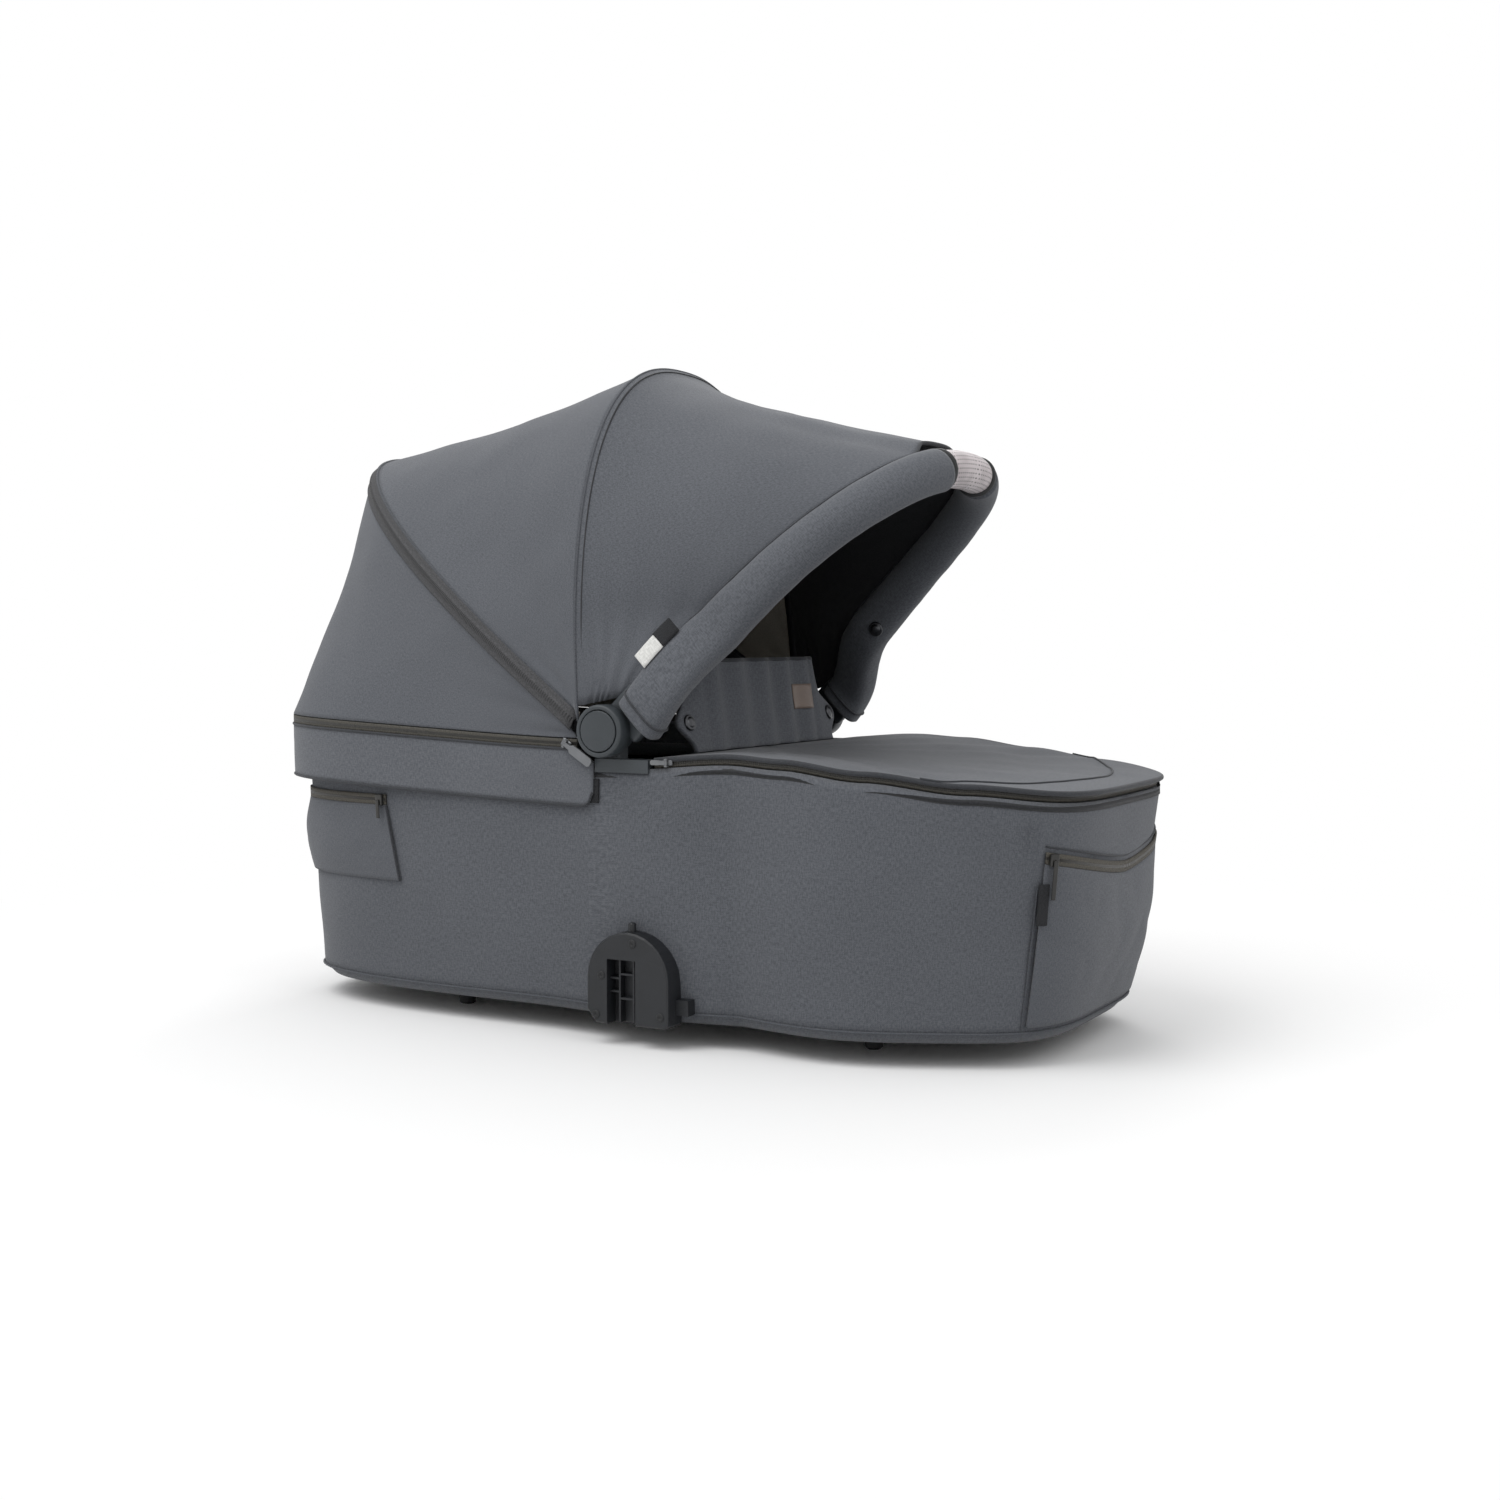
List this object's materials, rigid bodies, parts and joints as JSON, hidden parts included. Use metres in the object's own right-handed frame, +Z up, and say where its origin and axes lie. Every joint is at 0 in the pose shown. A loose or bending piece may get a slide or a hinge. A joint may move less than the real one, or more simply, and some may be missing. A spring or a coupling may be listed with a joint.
{
  "type": "carrycot",
  "caption": "Fabric-covered carrycot with a folding hood, carry-handle grip, foot apron, wind flap, zip pockets and side sockets that clip on a pushchair frame.",
  "frame": {"origin": "on the floor under the middle of the tub, between the four feet", "axes": "+X towards the foot end, +Y towards the tub's left side, +Z up"},
  "size_m": [0.8622, 0.4592, 0.6053],
  "materials": {
    "shell_fabric": "woven, slate grey",
    "lining_fabric": "padded, near black",
    "mattress_fabric": "knitted cover over foam",
    "zip_tape": "ribbed olive-grey tape",
    "plastic": "fine satin",
    "black_plastic": "satin",
    "board": "plain sheet",
    "steel": "satin",
    "coated_metal": "dark satin",
    "popper_metal": "polished",
    "leather_look": "perforated, soft sheen"
  },
  "bodies": {
    "tub": {"base_tray": "plastic", "head_end_foot_left": "black_plastic", "head_end_foot_right": "black_plastic", "foot_end_foot_left": "black_plastic", "foot_end_foot_right": "black_plastic", "rim_frame": "steel", "side_upright_left": "steel", "side_upright_right": "steel", "wall_board": "board", "outer_cover": "shell_fabric", "inner_lining": "lining_fabric", "mattress": "mattress_fabric", "adapter_housing_left": "plastic", "adapter_housing_right": "plastic", "hub_bracket_left": "plastic", "hub_bracket_right": "plastic", "pivot_pin_left": "steel", "pivot_pin_right": "steel", "hood_band": "shell_fabric", "band_zip": "zip_tape", "band_zip_slider": "coated_metal", "head_pocket": "shell_fabric", "head_pocket_zip": "zip_tape", "head_pocket_slider": "coated_metal", "foot_pocket": "shell_fabric", "foot_pocket_zip": "zip_tape", "foot_pocket_slider": "coated_metal", "apron": "shell_fabric", "apron_zip": "zip_tape", "apron_zip_slider_left": "coated_metal", "apron_zip_slider_right": "coated_metal", "hood_rear_panel": "shell_fabric"},
    "rear_hoop": {"rear_bow": "steel", "hood_zip": "zip_tape", "hood_middle_panel": "shell_fabric"},
    "middle_hoop": {"middle_bow": "steel", "hood_front_panel": "shell_fabric"},
    "front_handle": {"front_bow": "steel", "hub_knuckle_left": "plastic", "hub_knuckle_right": "plastic", "front_sleeve_left": "shell_fabric", "front_sleeve_right": "shell_fabric", "handle_grip": "leather_look", "grip_ring_left": "shell_fabric", "grip_ring_right": "shell_fabric", "sleeve_popper_left": "popper_metal", "sleeve_popper_right": "popper_metal"},
    "flap": {"wind_flap": "shell_fabric", "flap_popper_left": "popper_metal", "flap_popper_right": "popper_metal"},
    "hub_push_left": {"hub_button_left": "plastic"},
    "adapter_push_left": {"adapter_button_left": "black_plastic"},
    "apron_tab_left": {"apron_zip_pull_left": "coated_metal"},
    "hub_push_right": {"hub_button_right": "plastic"},
    "adapter_push_right": {"adapter_button_right": "black_plastic"},
    "apron_tab_right": {"apron_zip_pull_right": "coated_metal"},
    "band_tab": {"band_zip_pull": "coated_metal"},
    "head_tab": {"head_pocket_pull": "coated_metal"},
    "foot_tab": {"foot_pocket_pull": "coated_metal"}
  },
  "joints": [
    {"name": "rear_bow_hinge", "type": "hinge", "parent": "tub", "child": "rear_hoop", "pos_m": [0.005, 0, 0.284], "axis": [0, -1, 0], "range_deg": [0, 26], "deforming": ["hood_rear_panel"]},
    {"name": "middle_bow_hinge", "type": "hinge", "parent": "rear_hoop", "child": "middle_hoop", "pos_m": [0.005, 0, 0.284], "axis": [0, -1, 0], "range_deg": [0, 31], "deforming": ["hood_middle_panel"]},
    {"name": "front_bow_hinge", "type": "hinge", "parent": "middle_hoop", "child": "front_handle", "pos_m": [0.005, 0, 0.284], "axis": [0, -1, 0], "range_deg": [0, 38], "deforming": ["hood_front_panel"]},
    {"name": "flap_hinge", "type": "hinge", "parent": "tub", "child": "flap", "pos_m": [0.0685, 0, 0.2658], "axis": [0, 1, 0], "range_deg": [0, 75]},
    {"name": "hub_button_left_press", "type": "slide", "parent": "front_handle", "child": "hub_push_left", "axis": [0, -1, 0], "range_m": [0, 0.003], "stiffness_N_per_m": 600, "springref_m": -0.002},
    {"name": "adapter_button_left_press", "type": "slide", "parent": "tub", "child": "adapter_push_left", "axis": [0, 0, -1], "range_m": [0, 0.004], "stiffness_N_per_m": 400, "springref_m": -0.002},
    {"name": "hub_button_right_press", "type": "slide", "parent": "front_handle", "child": "hub_push_right", "axis": [0, 1, 0], "range_m": [0, 0.003], "stiffness_N_per_m": 600, "springref_m": -0.002},
    {"name": "adapter_button_right_press", "type": "slide", "parent": "tub", "child": "adapter_push_right", "axis": [0, 0, -1], "range_m": [0, 0.004], "stiffness_N_per_m": 400, "springref_m": -0.002},
    {"name": "apron_zip_pull_left_swing", "type": "hinge", "parent": "tub", "child": "apron_tab_left", "pos_m": [0.06592, 0.21274, 0.25675], "axis": [0, 0, -1], "range_deg": [0, 100]},
    {"name": "apron_zip_pull_right_swing", "type": "hinge", "parent": "tub", "child": "apron_tab_right", "pos_m": [0.06592, -0.21274, 0.25675], "axis": [0, 0, 1], "range_deg": [0, 100]},
    {"name": "band_zip_pull_swing", "type": "hinge", "parent": "tub", "child": "band_tab", "pos_m": [-0.03775, -0.21857, 0.2713], "axis": [-0.514, 0.0217, -0.8575], "range_deg": [0, 100]},
    {"name": "head_pocket_pull_swing", "type": "hinge", "parent": "tub", "child": "head_tab", "pos_m": [-0.24549, -0.19944, 0.2083], "axis": [-0.984, 0.1781, 0], "range_deg": [0, 100]},
    {"name": "foot_pocket_pull_swing", "type": "hinge", "parent": "tub", "child": "foot_tab", "pos_m": [0.39792, -0.11522, 0.1803], "axis": [-0.5478, -0.8366, 0], "range_deg": [0, 100]}
  ],
  "couplings": [
    {"joint": "middle_bow_hinge", "follows": "rear_bow_hinge", "ratio": 1.1923},
    {"joint": "front_bow_hinge", "follows": "rear_bow_hinge", "ratio": 1.4615}
  ]
}
